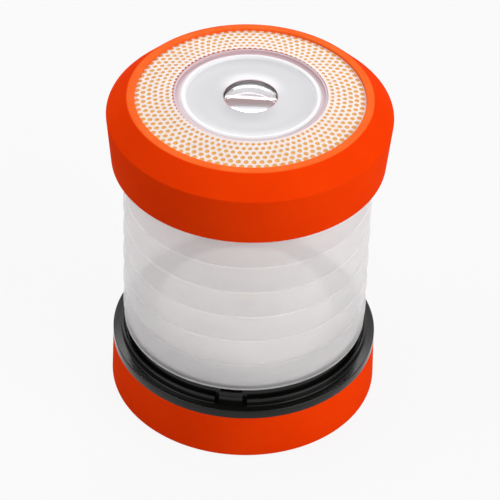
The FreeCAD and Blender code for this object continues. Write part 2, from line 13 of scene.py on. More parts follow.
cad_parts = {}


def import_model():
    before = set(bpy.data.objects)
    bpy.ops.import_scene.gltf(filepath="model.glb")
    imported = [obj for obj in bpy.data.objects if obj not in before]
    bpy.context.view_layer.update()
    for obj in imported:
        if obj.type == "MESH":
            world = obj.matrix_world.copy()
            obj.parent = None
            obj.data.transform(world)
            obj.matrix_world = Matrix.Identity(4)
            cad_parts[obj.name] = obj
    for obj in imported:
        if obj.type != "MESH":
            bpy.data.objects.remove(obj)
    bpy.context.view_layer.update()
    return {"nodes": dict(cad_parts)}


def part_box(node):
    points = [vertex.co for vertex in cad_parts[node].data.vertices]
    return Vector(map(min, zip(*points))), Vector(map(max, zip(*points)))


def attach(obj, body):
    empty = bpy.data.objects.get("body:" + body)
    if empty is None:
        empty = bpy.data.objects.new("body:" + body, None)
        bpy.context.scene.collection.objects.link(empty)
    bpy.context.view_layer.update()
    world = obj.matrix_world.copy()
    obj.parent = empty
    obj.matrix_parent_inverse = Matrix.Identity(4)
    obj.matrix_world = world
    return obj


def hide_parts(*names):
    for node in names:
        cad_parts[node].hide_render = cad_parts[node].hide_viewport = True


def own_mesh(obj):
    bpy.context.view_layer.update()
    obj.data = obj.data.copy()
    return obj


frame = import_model()

MM = 0.001
FULL_TURN = 2 * math.pi
SEGMENTS = 256
SHARP_ANGLE = math.radians(32)


def reach(node):
    """Largest X of a node."""
    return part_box(node)[1].x / MM


def depth(node):
    """Largest Y of a node."""
    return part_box(node)[1].y / MM


def front(node):
    """Smallest Y of a node."""
    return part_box(node)[0].y / MM


def foot(node):
    """Lowest Z of a node."""
    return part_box(node)[0].z / MM


def top(node):
    """Highest Z of a node."""
    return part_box(node)[1].z / MM


def middle_height(node):
    """Height of a node's middle."""
    return (foot(node) + top(node)) / 2


# Radii and heights that the frame gives
base_radius = reach("base_shell")
flange_radius = reach("latch_ring")
cap_radius = reach("cap_shell")
bulge_radius = reach("bellows")
grille_outer = reach("grille_ring")
plate_radius = reach("lens_dish")
lens_radius = reach("spot_lens")
cover_radius = reach("battery_cover")
z_under = foot("base_shell")
z_flange = top("base_shell")
z_hem = foot("bellows")
z_collar = top("bellows")
z_skirt = foot("cap_shell")
z_lip_inner = top("cap_shell")
z_deck = foot("led_pedestal")
z_floor = foot("driver_board")
z_dish_flange = foot("lens_dish")
z_button = middle_height("power_button")
z_bail = middle_height("hanging_bail")

# Shells
wall = 2.0
bevel_height = 6.1
bevel_width = 6.1
lip_width = 2.6
lip_rise = 0.3
plate_thickness = 1.2
edge_soft = 0.3
bevel_soft = 0.5
underside_soft = 0.8
cover_seat = 1.6
cover_gap = 0.3
cover_thickness = 2.2
fit_gap = 0.1

# Black ring
deck_thickness = 1.8
flange_thickness = 2.95
flange_shelf = 2.65
rim_height = 2.65
rim_wall = 1.0
rim_groove = 0.6
finger_count = 3
finger_azimuth = -90.0
finger_width = 7.3
finger_rise = 2.3
finger_hook = 0.5
finger_root = 0.3
hook_height = 0.7
hook_soft = 0.15
slot_width = 1.5
collar_wall = 3.6
spigot_wall = 1.6
wire_hole_radius = 4.0
ring_soft = 0.25

# Bellows
band_count = 8
band_bulge = 0.75
bellows_wall = 0.8
hem_thickness = 0.8
hem_margin = 0.4
band_steps = 14
band_lean = 1.27
fold_half = 0.15
fold_depth = 0.5
fold_fade = 6
hem_lip = 0.4
cap_glow_depth = 18.0

# Perforated sheet
grille_inner = 23.6
grille_rise = 1.55
sheet_thickness = 0.15
sheet_gap = 0.02
hole_rows = 6
holes_per_row = 88
first_row_radius = 25.15
row_step = 1.85
hole_share = 0.66
hole_points = 16
pattern_shift = (-0.25, 0.25)

# Dish and lens
upstand_wall = 0.5
dish_step = 1.9
bead_width = 1.7
bead_rise = 0.6
bowl_sag = 0.6
bowl_lift = 0.4
lens_rise = 2.0
dish_steps = 14
lens_steps = 24

# Bail, feet and button
bend_radius = 2.4
swing_gap = 0.3
pin_length = 2.4
pin_gap = 0.15
pad_land = 0.5
pad_width = 2.4
pad_recess = 0.7
pad_count = 4
pad_azimuth = 45.0
pad_span = 40.8
button_width = 12.0
button_height = 6.0
button_corner = 2.0
button_flange = 1.2
button_flange_thickness = 1.2
button_gap = 0.15
button_face = ((0.0, 0.6), (0.08, 0.3), (0.3, 0.08), (0.6, 0.0), (1.2, -0.04), (1.9, -0.06))
wire_points = 24
bend_steps = 10
loop_steps = 96
below = 1.0

# Finishes: widths over which tones change, and shares
seat_shade = 0.45
seat_glow = 0.75
seat_span = 1.0
lens_reflection_width = 0.1
lens_blend = 0.4
bowl_blend = 0.4
bead_blend = 0.1
step_blend = 0.4
phosphor_share = 0.55
package_share = 0.68
transmitted_share = 0.4
translucent_share = 0.42
clear_share = 0.33
milky_index = 1.4
lens_index = 1.49

# Heights that follow
z_ledge = foot("battery_cover") + cover_thickness
z_lip = z_lip_inner - lip_rise
z_bevel = z_lip - bevel_height
z_flange_top = z_flange + flange_thickness
z_rim = z_flange_top + rim_height
z_finger = z_rim + finger_rise
z_dish_step = top("lens_dish") - bead_rise
z_roof = z_dish_flange + plate_thickness
z_grille = top("grille_ring") - grille_rise
z_sheet_under = z_grille - sheet_thickness - sheet_gap

# Radii that follow
shell_inner = flange_radius - wall
rim_radius = flange_radius - flange_shelf
rim_inner = rim_radius - rim_wall
hook_radius = rim_radius + finger_hook
collar_radius = rim_inner - rim_groove
collar_inner = collar_radius - collar_wall
crease_radius = bulge_radius - band_bulge
skirt_inner = base_radius - wall
cap_inner = cap_radius - wall
lip_radius = cap_radius - bevel_width
opening_radius = lip_radius - lip_width
dish_radius = grille_inner - fit_gap
bead_outer = dish_radius - dish_step
bowl_radius = bead_outer - bead_width
lens_seat = lens_radius + fit_gap
wire_radius = (top("hanging_bail") - foot("hanging_bail")) / 2
bail_radius = -front("hanging_bail") - bend_radius - wire_radius
pin_start = bail_radius + bend_radius
groove_half = wire_radius + swing_gap
pad_inner = bail_radius + groove_half + bend_radius + pad_land
pad_outer = pad_inner + pad_width

# Slopes of the tilted faces
grille_slope = grille_rise / (grille_outer - grille_inner)
bevel_slope = bevel_height / bevel_width
z_opening = z_sheet_under + grille_slope * (grille_outer - grille_inner)


# Mesh helpers


def soften(points, steps=4):
    """Closed outline in which a corner that carries a third value is rounded to that radius."""
    count = len(points)
    outline = []
    for k, point in enumerate(points):
        corner = Vector(point[:2])
        if len(point) < 3:
            outline.append(corner)
            continue
        back = (Vector(points[k - 1][:2]) - corner).normalized()
        ahead = (Vector(points[(k + 1) % count][:2]) - corner).normalized()
        half = back.angle(ahead) / 2
        start = corner + back * (point[2] / math.tan(half))
        end = corner + ahead * (point[2] / math.tan(half))
        centre = corner + (back + ahead).normalized() * (point[2] / math.sin(half))
        for j in range(steps + 1):
            spoke = (start - centre).lerp(end - centre, j / steps).normalized()
            outline.append(centre + spoke * point[2])
    return outline


def mesh_from(name, points, faces):
    """Mesh from points in millimetres, with its faces turned outwards."""
    mesh = bpy.data.meshes.new(name)
    mesh.from_pydata([Vector(p) * MM for p in points], [], faces)
    work = bmesh.new()
    work.from_mesh(mesh)
    bmesh.ops.recalc_face_normals(work, faces=work.faces)
    work.to_mesh(mesh)
    work.free()
    return mesh


def turned(name, outline, sweep=360.0, middle=0.0, segments=SEGMENTS):
    """A closed (radius, height) outline turned about the axis; a part turn has flat ends."""
    whole = sweep >= 360.0
    steps = segments if whole else max(2, round(segments * sweep / 360.0))
    first = math.radians(middle - sweep / 2)
    stations = steps if whole else steps + 1
    count = len(outline)
    points = []
    for s in range(stations):
        turn = first + math.radians(sweep) * s / steps
        points += [(r * math.cos(turn), r * math.sin(turn), z) for r, z in outline]
    faces = []
    for s in range(steps):
        here, there = s * count, (s + 1) % stations * count
        for k in range(count):
            after = (k + 1) % count
            faces.append((here + k, here + after, there + after, there + k))
    if not whole:
        faces.append(tuple(range(count)))
        faces.append(tuple(range((stations - 1) * count, stations * count)))
    return mesh_from(name, points, faces)


def band(inner, outer, low, high, sweep=360.0, middle=0.0):
    """Ring, or part of one, with a rectangular section."""
    return turned("band", [(inner, low), (outer, low), (outer, high), (inner, high)], sweep, middle)


def domed(name, outline, segments=SEGMENTS):
    """An outline that starts and ends on the axis, turned into a closed body."""
    ring = outline[1:-1]
    count = len(ring)
    points = [(0, 0, outline[0][1]), (0, 0, outline[-1][1])]
    for s in range(segments):
        turn = FULL_TURN * s / segments
        points += [(r * math.cos(turn), r * math.sin(turn), z) for r, z in ring]
    faces = []
    for s in range(segments):
        here, there = 2 + s * count, 2 + (s + 1) % segments * count
        faces += [(here + k, here + k + 1, there + k + 1, there + k) for k in range(count - 1)]
        faces.append((0, here, there))
        faces.append((1, there + count - 1, here + count - 1))
    return mesh_from(name, points, faces)


def lofted(name, rings):
    """Quads between rings of equal length, with flat ends."""
    count = len(rings[0])
    points = [p for ring in rings for p in ring]
    faces = []
    for s in range(len(rings) - 1):
        here, there = s * count, (s + 1) * count
        for k in range(count):
            after = (k + 1) % count
            faces.append((here + k, here + after, there + after, there + k))
    faces.append(tuple(range(count)))
    faces.append(tuple(range((len(rings) - 1) * count, len(rings) * count)))
    return mesh_from(name, points, faces)


def bar(low, high):
    """Box between two corners."""
    corners = [(low[0], low[1]), (high[0], low[1]), (high[0], high[1]), (low[0], high[1])]
    return lofted("bar", [[(x, y, z) for x, y in corners] for z in (low[2], high[2])])


def shaped(mesh, tools, operation):
    """The mesh united with, cut by or cut down to each tool mesh in turn."""
    body = bpy.data.objects.new("work", mesh)
    helpers = [bpy.data.objects.new("tool", tool) for tool in tools]
    for item in [body] + helpers:
        bpy.context.scene.collection.objects.link(item)
    for helper in helpers:
        step = body.modifiers.new("step", "BOOLEAN")
        step.operation = operation
        step.solver = "EXACT"
        step.object = helper
    bpy.context.view_layer.update()
    result = bpy.data.meshes.new_from_object(body.evaluated_get(bpy.context.evaluated_depsgraph_get()))
    for item in [body] + helpers:
        bpy.data.objects.remove(item)
    return result


def rounded_ring(width, height, corner, y_at, steps=6):
    """Points of a rectangle with rounded corners round the button's axis; y_at gives Y from X."""
    points = []
    for lap, (sx, sz) in enumerate(((1, 1), (-1, 1), (-1, -1), (1, -1))):
        for k in range(steps + 1):
            turn = math.pi / 2 * (lap + k / steps)
            x = sx * (width / 2 - corner) + corner * math.cos(turn)
            z = z_button + sz * (height / 2 - corner) + corner * math.sin(turn)
            points.append((x, y_at(x), z))
    return points


def piece(name, mesh, finish, body, slot, *nodes):
    """A shown piece that rides on a body and stands for CAD nodes."""
    mesh.name = name
    mesh.shade_smooth()
    mesh.set_sharp_from_angle(angle=SHARP_ANGLE)
    mesh.materials.clear()
    mesh.materials.append(finish)
    shown = bpy.data.objects.new(name, mesh)
    bpy.context.scene.collection.objects.link(shown)
    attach(shown, body)
    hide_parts(*nodes)
    return shown


# Material helpers


def srgb(red, green, blue):
    """Linear colour of an 8-bit sRGB colour."""
    def linear(c):
        c /= 255
        return c / 12.92 if c <= 0.04045 else ((c + 0.055) / 1.055) ** 2.4
    return (linear(red), linear(green), linear(blue), 1.0)


def feed(tree, socket, value):
    """Links a socket to another, or sets its value."""
    if isinstance(value, bpy.types.NodeSocket):
        tree.links.new(value, socket)
    else:
        socket.default_value = value


def add(tree, kind, inputs=None, **settings):
    """New node with its settings and its inputs' values or links."""
    made = tree.nodes.new(kind)
    for name, value in settings.items():
        setattr(made, name, value)
    for name, value in (inputs or {}).items():
        feed(tree, made.inputs[name], value)
    return made


def maths(tree, operation, first, second):
    """Result of a sum on two values."""
    return add(tree, "ShaderNodeMath", {0: first, 1: second}, operation=operation).outputs["Value"]


def blank(name):
    """New material, its node tree and its main shader."""
    made = bpy.data.materials.new(name)
    made.use_nodes = True
    return made, made.node_tree, made.node_tree.nodes["Principled BSDF"]


def place(tree):
    """Position on the object, in metres."""
    return add(tree, "ShaderNodeTexCoord").outputs["Object"]


def height_above(tree):
    """Height on the object, in metres."""
    return add(tree, "ShaderNodeSeparateXYZ", {"Vector": place(tree)}).outputs["Z"]


def off_axis(tree):
    """Distance from the object's Z axis, in metres."""
    split = add(tree, "ShaderNodeSeparateXYZ", {"Vector": place(tree)})
    flat = add(tree, "ShaderNodeCombineXYZ", {"X": split.outputs["X"], "Y": split.outputs["Y"]})
    length = add(tree, "ShaderNodeVectorMath", {"Vector": flat.outputs["Vector"]}, operation="LENGTH")
    return length.outputs["Value"]


def clouds(tree, scale, detail=2.0):
    """Soft noise with scale cells to the metre."""
    noise = add(tree, "ShaderNodeTexNoise", {"Vector": place(tree), "Scale": scale, "Detail": detail})
    return noise.outputs["Fac"]


def tones(tree, share, stops):
    """Colour ramp from (position, colour) stops."""
    ramp = add(tree, "ShaderNodeValToRGB", {"Fac": share})
    while len(ramp.color_ramp.elements) < len(stops):
        ramp.color_ramp.elements.new(0.5)
    for element, (position, colour) in zip(ramp.color_ramp.elements, stops):
        element.position = position
        element.color = colour
    return ramp.outputs["Color"]


def between(tree, share, first, second):
    """Colour between two others."""
    mix = add(tree, "ShaderNodeMix", data_type="RGBA")
    feed(tree, mix.inputs[0], share)
    feed(tree, mix.inputs[6], first)
    feed(tree, mix.inputs[7], second)
    return mix.outputs[2]


def spread(tree, share, low, high):
    """A 0 to 1 share mapped to a range."""
    return add(tree, "ShaderNodeMapRange", {"Value": share, "To Min": low, "To Max": high}).outputs["Result"]


def grain(tree, shader, scale, rise, detail=2.0):
    """Fine bumps with scale cells to the metre and a rise in millimetres."""
    bump = add(tree, "ShaderNodeBump",
               {"Height": clouds(tree, scale, detail), "Distance": rise * MM, "Strength": 1.0})
    feed(tree, shader.inputs["Normal"], bump.outputs["Normal"])


def moulded(name, colours, cloud_scale, gloss, grain_scale, grain_rise, **sockets):
    """Moulded plastic or rubber: close tones in soft clouds, uneven gloss and a fine grain."""
    made, tree, shader = blank(name)
    share = clouds(tree, cloud_scale, 4.0)
    feed(tree, shader.inputs["Base Color"], tones(tree, share, [(0.3, colours[0]), (0.7, colours[1])]))
    feed(tree, shader.inputs["Roughness"], spread(tree, clouds(tree, cloud_scale * 6, 3.0), *gloss))
    grain(tree, shader, grain_scale, grain_rise)
    for socket, value in sockets.items():
        shader.inputs[socket.replace("_", " ")].default_value = value
    return made


def metal(name, colours, gloss, line_scale, line_rise):
    """Drawn or plated metal with fine lines."""
    made, tree, shader = blank(name)
    share = clouds(tree, 300.0, 4.0)
    feed(tree, shader.inputs["Base Color"], tones(tree, share, [(0.35, colours[0]), (0.65, colours[1])]))
    feed(tree, shader.inputs["Roughness"], spread(tree, clouds(tree, 900.0, 3.0), *gloss))
    grain(tree, shader, line_scale, line_rise, 4.0)
    shader.inputs["Metallic"].default_value = 1.0
    return made


# Finishes

black = moulded("black_gloss", (srgb(11, 12, 10), srgb(16, 16, 15)), cloud_scale=120.0, gloss=(0.13, 0.2),
                grain_scale=2500.0, grain_rise=0.004, Specular_IOR_Level=0.25)
white = moulded("white_plastic", (srgb(232, 230, 226), srgb(238, 236, 232)), cloud_scale=60.0,
                gloss=(0.35, 0.45), grain_scale=2500.0, grain_rise=0.006)
sheet_white = moulded("sheet_white", (srgb(235, 219, 213), srgb(240, 226, 220)), cloud_scale=90.0,
                      gloss=(0.4, 0.5), grain_scale=3000.0, grain_rise=0.004)
rubber = moulded("black_rubber", (srgb(24, 24, 24), srgb(32, 31, 31)), cloud_scale=150.0,
                 gloss=(0.7, 0.85), grain_scale=4000.0, grain_rise=0.02)
board_white = moulded("board_white", (srgb(222, 224, 222), srgb(232, 233, 230)), cloud_scale=200.0,
                      gloss=(0.35, 0.5), grain_scale=3000.0, grain_rise=0.004)
board_green = moulded("board_green", (srgb(18, 74, 42), srgb(24, 88, 50)), cloud_scale=300.0,
                      gloss=(0.3, 0.4), grain_scale=3000.0, grain_rise=0.004)
part_grey = moulded("part_grey", (srgb(40, 40, 44), srgb(52, 52, 56)), cloud_scale=300.0,
                    gloss=(0.4, 0.55), grain_scale=3000.0, grain_rise=0.006)
jacket = moulded("cell_jacket", (srgb(52, 60, 74), srgb(60, 70, 84)), cloud_scale=200.0,
                 gloss=(0.25, 0.35), grain_scale=1500.0, grain_rise=0.004)
wire = metal("steel_wire", (srgb(176, 178, 180), srgb(196, 197, 198)), gloss=(0.22, 0.34),
             line_scale=2600.0, line_rise=0.006)
plated = metal("plated_steel", (srgb(188, 186, 180), srgb(204, 202, 196)), gloss=(0.25, 0.38),
               line_scale=2200.0, line_rise=0.006)


def orange_finish():
    """Soft-touch orange, paler on the lip with a painted sheen, and on the seat under the perforated sheet a
    painted shade at the inner edge that turns pale amber further out.
    """
    made, tree, shader = blank("orange_soft_touch")
    radius = off_axis(tree)
    height = height_above(tree)
    skin = tones(tree, clouds(tree, 45.0, 4.0), [(0.3, srgb(241, 58, 2)), (0.7, srgb(247, 63, 3))])
    # Paler orange for the painted sheen on the lip
    lip_painted_sheen = tones(tree, clouds(tree, 160.0, 4.0), [(0.3, srgb(248, 102, 40)), (0.7, srgb(252, 112, 48))])
    seat_end = grille_inner + seat_span
    # Seat under the sheet: painted shade at its inner edge, turning pale amber further out
    stops = [((grille_inner + seat_shade) / seat_end, srgb(198, 84, 26)),
             ((grille_inner + seat_glow) / seat_end, srgb(235, 175, 98))]
    seat = tones(tree, maths(tree, "DIVIDE", radius, seat_end * MM), stops)
    raised = maths(tree, "GREATER_THAN", height, (z_lip - wall) * MM)
    in_opening = maths(tree, "LESS_THAN", radius, (opening_radius - fit_gap) * MM)
    inside = maths(tree, "MULTIPLY", raised, in_opening)
    on_lip = add(tree, "ShaderNodeMapRange",
                 {"Value": radius, "From Min": lip_radius * MM, "From Max": (lip_radius - bevel_soft) * MM})
    colour = between(tree, maths(tree, "MULTIPLY", raised, on_lip.outputs["Result"]), skin, lip_painted_sheen)
    feed(tree, shader.inputs["Base Color"], between(tree, inside, colour, seat))
    feed(tree, shader.inputs["Roughness"], spread(tree, clouds(tree, 270.0, 3.0), 0.7, 0.8))
    grain(tree, shader, 3500.0, 0.012)
    shader.inputs["Specular IOR Level"].default_value = 0.012
    return made


def dish_finish():
    """Pale satin plastic, with a painted rosy reflection of the orange cap on the step outside the bead and
    at the lens.
    """
    made, tree, shader = blank("pale_dish")
    share = maths(tree, "DIVIDE", off_axis(tree), dish_radius * MM)
    pale = srgb(205, 204, 208)
    bright = srgb(238, 237, 240)
    # The rosy tone is a painted reflection of the orange cap
    rosy_painted_reflection = srgb(212, 186, 192)
    rings = [(lens_seat + lens_reflection_width, rosy_painted_reflection), (lens_seat + lens_blend, pale),
             (bowl_radius - bowl_blend, pale), (bowl_radius, bright),
             (bead_outer - bead_blend, bright), (bead_outer + step_blend, rosy_painted_reflection)]
    stops = [(radius / dish_radius, colour) for radius, colour in rings]
    feed(tree, shader.inputs["Base Color"], tones(tree, share, stops))
    feed(tree, shader.inputs["Roughness"], spread(tree, clouds(tree, 300.0, 3.0), 0.27, 0.3))
    grain(tree, shader, 1800.0, 0.004)
    shader.inputs["Specular IOR Level"].default_value = 0.5
    return made


def lens_finish():
    """Clear lens with a breath of dust in its gloss."""
    made, tree, shader = blank("clear_lens")
    feed(tree, shader.inputs["Roughness"], spread(tree, clouds(tree, 600.0, 4.0), 0.0, 0.04))
    shader.inputs["Base Color"].default_value = (0.86, 0.88, 0.92, 1.0)
    shader.inputs["Transmission Weight"].default_value = 1.0
    shader.inputs["IOR"].default_value = lens_index
    return made


def milky_finish():
    """Milky, see-through plastic, painted white at its folds as a highlight, with a faint pink tint painted
    under the cap for the orange light that comes off it.
    """
    made, tree, shader = blank("milky_bellows")
    fold = add(tree, "ShaderNodeAttribute", attribute_name="fold").outputs["Fac"]
    # Faint pink tint under the cap: painted orange light from the cap
    near_cap = add(tree, "ShaderNodeMapRange", {"Value": height_above(tree),
                   "From Min": (z_skirt - cap_glow_depth) * MM, "From Max": z_skirt * MM})
    skin = tones(tree, clouds(tree, 35.0, 3.0), [(0.3, srgb(247, 246, 247)), (0.7, srgb(251, 250, 251))])
    painted_cap_glow = between(tree, near_cap.outputs["Result"], skin, srgb(249, 244, 244))
    # The folds are painted white as a painted highlight
    colour = between(tree, fold, painted_cap_glow, srgb(255, 255, 255))
    feed(tree, shader.inputs["Base Color"], colour)
    feed(tree, shader.inputs["Roughness"], spread(tree, clouds(tree, 400.0, 3.0), 0.42, 0.48))
    grain(tree, shader, 2200.0, 0.006)
    shader.inputs["Transmission Weight"].default_value = transmitted_share
    shader.inputs["IOR"].default_value = milky_index
    through = add(tree, "ShaderNodeBsdfTranslucent", {"Color": colour})
    haze = add(tree, "ShaderNodeMixShader",
               {0: translucent_share, 1: shader.outputs["BSDF"], 2: through.outputs["BSDF"]})
    clear = add(tree, "ShaderNodeBsdfTransparent")
    seen = add(tree, "ShaderNodeMixShader",
               {0: clear_share, 1: haze.outputs["Shader"], 2: clear.outputs["BSDF"]})
    feed(tree, tree.nodes["Material Output"].inputs["Surface"], seen.outputs["Shader"])
    return made


def emitter_finish():
    """Yellow phosphor in the middle of a dark package."""
    made, tree, shader = blank("emitter")
    share = maths(tree, "DIVIDE", off_axis(tree), reach("led_emitter") * math.sqrt(2) * MM)
    stops = [(phosphor_share, srgb(246, 226, 120)), (package_share, srgb(70, 66, 60))]
    feed(tree, shader.inputs["Base Color"], tones(tree, share, stops))
    feed(tree, shader.inputs["Roughness"], spread(tree, clouds(tree, 900.0), 0.2, 0.4))
    return made


orange = orange_finish()
dish_pale = dish_finish()
lens_clear = lens_finish()
milky = milky_finish()
emitter = emitter_finish()


# Pieces


def cap():
    """Orange cap with softened edges and a tilted seat right under the perforated sheet."""
    z_bevel_in = z_bevel - wall * (math.sqrt(1 + bevel_slope**2) - bevel_slope)
    outline = soften([
        (skirt_inner, z_skirt, edge_soft),
        (base_radius, z_skirt, edge_soft),
        (cap_radius, z_bevel, bevel_soft),
        (lip_radius, z_lip, bevel_soft),
        (opening_radius, z_lip_inner, edge_soft / 2),
        (opening_radius, z_sheet_under + grille_slope * (grille_outer - opening_radius)),
        (grille_inner, z_opening),
        (grille_inner, z_roof),
        (collar_inner, z_roof),
        (collar_inner, z_collar),
        (collar_radius, z_collar),
        (collar_radius, z_bevel_in + bevel_slope * (cap_inner - collar_radius)),
        (cap_inner, z_bevel_in, bevel_soft),
    ])
    return piece("cap", turned("cap", outline), orange, "cap", "orange_shell", "cap_shell")


def perforated_sheet():
    """White tilted sheet cut from perforated stock, so that its edges cross some of the holes."""
    pitch = FULL_TURN / holes_per_row
    side = hole_points // 4
    first_bearing = -0.75 * math.pi
    stock_inner = first_row_radius - 1.5 * row_step
    stock_outer = first_row_radius + (hole_rows + 0.5) * row_step
    points = []
    faces = []
    index = {}

    def spot(radius, turn, level):
        x = radius * math.cos(turn) + pattern_shift[0]
        y = radius * math.sin(turn) + pattern_shift[1]
        z = z_grille + grille_slope * (grille_outer - math.hypot(x, y)) - level * sheet_thickness
        key = (round(x, 4), round(y, 4), level)
        if key not in index:
            index[key] = len(points)
            points.append((x, y, z))
        return index[key]

    for row in range(-1, hole_rows + 1):
        middle = first_row_radius + row * row_step
        hole = hole_share * middle * pitch / 2
        for column in range(holes_per_row):
            centre = (column + (0.5 if row % 2 else 0.0)) * pitch
            cell_ring = []
            hole_ring = []
            for k in range(hole_points):
                lap, step = divmod(k, side)
                along = step / side * 2 - 1
                across = [(along, -1), (1, along), (-along, 1), (-1, -along)][lap]
                cell_ring.append((middle + across[1] * row_step / 2, centre + across[0] * pitch / 2))
                bearing = FULL_TURN * (k / hole_points) + first_bearing
                hole_ring.append((middle + hole * math.sin(bearing),
                                  centre + hole * math.cos(bearing) / middle))
            rims = []
            for level in (0, 1):
                outer = [spot(r, t, level) for r, t in cell_ring]
                rims.append([spot(r, t, level) for r, t in hole_ring])
                for k in range(hole_points):
                    after = (k + 1) % hole_points
                    faces.append((outer[k], outer[after], rims[level][after], rims[level][k]))
            for k in range(hole_points):
                after = (k + 1) % hole_points
                faces.append((rims[0][k], rims[0][after], rims[1][after], rims[1][k]))
    for radius in (stock_inner, stock_outer):
        for k in range(holes_per_row * side):
            start, end = [(k + j) * pitch / side for j in (0, 1)]
            faces.append((spot(radius, start, 0), spot(radius, end, 0),
                          spot(radius, end, 1), spot(radius, start, 1)))
    cut = band(grille_inner, opening_radius - fit_gap / 2, z_grille - wall, z_grille + grille_rise + wall)
    sheet = shaped(mesh_from("stock", points, faces), [cut], "INTERSECT")
    return piece("perforated_sheet", sheet, sheet_white, "cap", "grille_white", "grille_ring")


def dish():
    """Pale dish: upstand, clear step, raised bead and a shallow bowl that rises to the lens."""
    bead_middle = (bead_outer + bowl_radius) / 2
    upstand_inner = dish_radius - upstand_wall
    outline = [(lens_seat, z_dish_flange), (plate_radius, z_dish_flange), (plate_radius, z_roof),
               (dish_radius, z_roof), (dish_radius, z_opening), (upstand_inner, z_opening),
               (upstand_inner, z_dish_step)]
    for k in range(dish_steps + 1):
        turn = math.pi * k / dish_steps
        outline.append((bead_middle + bead_width / 2 * math.cos(turn),
                        z_dish_step + bead_rise * math.sin(turn)))
    for k in range(1, 2 * dish_steps + 1):
        share = k / (2 * dish_steps)
        outline.append((bowl_radius + (lens_seat - bowl_radius) * share,
                        z_dish_step + bowl_lift * share - 4 * bowl_sag * share * (1 - share)))
    return piece("dish", turned("dish", outline), dish_pale, "cap", "pale_dish", "lens_dish")


def lens():
    """Domed clear lens on a straight foot."""
    z_low = foot("spot_lens")
    z_apex = top("spot_lens")
    sphere = (lens_radius**2 + lens_rise**2) / (2 * lens_rise)
    opening = math.asin(lens_radius / sphere)
    dome = []
    for k in range(lens_steps, -1, -1):
        turn = opening * k / lens_steps
        dome.append((sphere * math.sin(turn), z_apex - sphere + sphere * math.cos(turn)))
    outline = [(0, z_low), (lens_radius, z_low)] + dome
    return piece("lens", domed("lens", outline), lens_clear, "cap", "clear_lens", "spot_lens")


def milky_bellows():
    """Convex bands, each drawn in at its foot so that a pale ledge shows at every fold; the fold points
    carry a mark that the finish paints white as a highlight.
    """
    pitch = (z_collar - z_hem) / band_count
    outside = [(crease_radius + hem_lip, z_hem), (crease_radius + hem_lip, z_hem + fold_half)]
    pale = [1.0, 1.0]
    for k in range(band_count):
        z_fold = z_hem + k * pitch
        dip = fold_depth if k else 0.0
        if k:
            outside.append((crease_radius - dip, z_fold))
            pale.append(1.0)
        for j in range(band_steps + 1):
            share = j / band_steps
            bulge = band_bulge * math.sin(math.pi * share**band_lean)
            outside.append((crease_radius + bulge - dip * (1 - share)**fold_fade,
                            z_fold + fold_half + share * (pitch - 2 * fold_half)))
            pale.append(0.0)
    outside.append((crease_radius, z_collar))
    inside = [(r - bellows_wall, z) for r, z in reversed(outside)
              if z_hem + hem_thickness < z < z_collar - hem_thickness]
    hem_inner = collar_inner + hem_margin
    inner_radius = crease_radius - bellows_wall
    outline = outside + [(hem_inner, z_collar), (hem_inner, z_collar - hem_thickness),
                         (inner_radius, z_collar - hem_thickness)] + inside
    outline += [(inner_radius, z_hem + hem_thickness), (hem_inner, z_hem + hem_thickness),
                (hem_inner, z_hem)]
    mesh = turned("milky_bellows", outline)
    # Fold mark: the points where the milky finish paints a white highlight
    fold = mesh.attributes.new("fold", "FLOAT", "POINT")
    pale += [0.0] * (len(outline) - len(pale))
    for k, mark in enumerate(fold.data):
        mark.value = pale[k % len(outline)]
    shown = piece("milky_bellows", mesh, milky, "base", "milky_bellows", "bellows")
    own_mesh(shown)
    return shown


def black_ring():
    """Glossy ring with a shelf that the cap lands on, a rim with snap fingers and a collar."""
    z_spigot = foot("latch_ring")
    z_deck_under = z_deck - deck_thickness
    spigot_radius = shell_inner - fit_gap
    body = turned("ring", soften([
        (wire_hole_radius, z_deck_under),
        (spigot_radius - spigot_wall, z_deck_under),
        (spigot_radius - spigot_wall, z_spigot),
        (spigot_radius, z_spigot),
        (spigot_radius, z_flange),
        (flange_radius, z_flange, ring_soft),
        (flange_radius, z_flange_top, ring_soft),
        (rim_radius, z_flange_top, ring_soft),
        (rim_radius, z_rim, ring_soft),
        (rim_inner, z_rim, ring_soft),
        (rim_inner, z_deck),
        (collar_radius, z_deck),
        (collar_radius, z_hem, ring_soft),
        (collar_inner, z_hem),
        (collar_inner, z_deck),
        (wire_hole_radius, z_deck),
    ]))
    finger_span = math.degrees(finger_width / rim_radius)
    slot_span = math.degrees(slot_width / rim_radius)
    turns = [finger_azimuth + 360.0 * k / finger_count for k in range(finger_count)]
    windows = [band(rim_inner - rim_groove / 2, rim_radius + ring_soft, z_flange_top, z_rim + below,
                    finger_span + 2 * slot_span, a) for a in turns]
    finger = soften([
        (rim_inner, z_flange_top - finger_root),
        (rim_radius, z_flange_top - finger_root),
        (rim_radius, z_finger - 2 * hook_height),
        (hook_radius, z_finger - hook_height, hook_soft),
        (rim_radius - rim_wall / 2, z_finger, hook_soft),
        (rim_inner, z_finger, hook_soft),
    ])
    fingers = [turned("finger", finger, finger_span, a, 3 * SEGMENTS) for a in turns]
    body = shaped(shaped(body, windows, "DIFFERENCE"), fingers, "UNION")
    return piece("black_ring", body, black, "base", "black_ring", "latch_ring")


